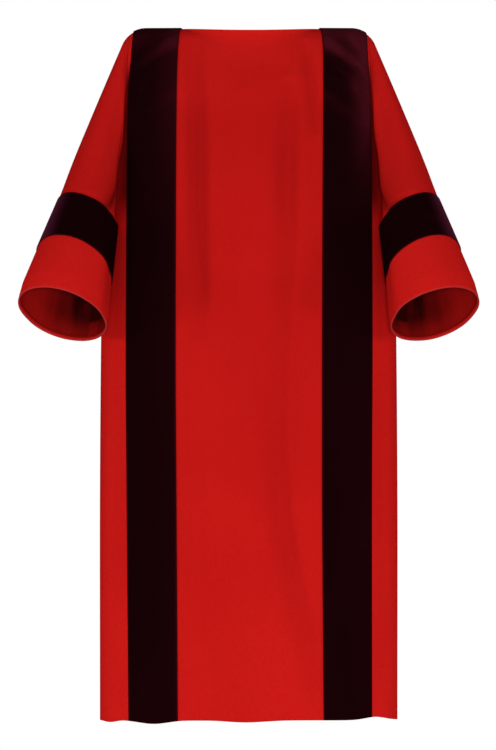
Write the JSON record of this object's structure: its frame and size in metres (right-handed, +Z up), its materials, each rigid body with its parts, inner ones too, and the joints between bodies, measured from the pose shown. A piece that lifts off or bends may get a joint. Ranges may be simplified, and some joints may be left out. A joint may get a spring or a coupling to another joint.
{
  "type": "dalmatic",
  "caption": "Long straight vestment worn over the body, with wide short open sleeves, a wide open neck, dark velvet clavi down front and back and a velvet band round each sleeve.",
  "frame": {"origin": "middle of the shoulder line, where the wearer's shoulders hold the garment", "axes": "+Z up, the front of the garment faces -Y, the wearer's left is +X"},
  "size_m": [0.7782, 0.3401, 1.2072],
  "materials": {
    "red_cloth": "matt woven cloth",
    "dark_velvet": "dark short-pile velvet"
  },
  "bodies": {
    "root": {"front_panel": "red_cloth", "back_panel": "red_cloth", "sleeve_left": "red_cloth", "sleeve_right": "red_cloth", "clavus_front_left": "dark_velvet", "clavus_front_right": "dark_velvet", "clavus_back_left": "dark_velvet", "clavus_back_right": "dark_velvet", "sleeve_band_left": "dark_velvet", "sleeve_band_right": "dark_velvet"}
  },
  "joints": []
}
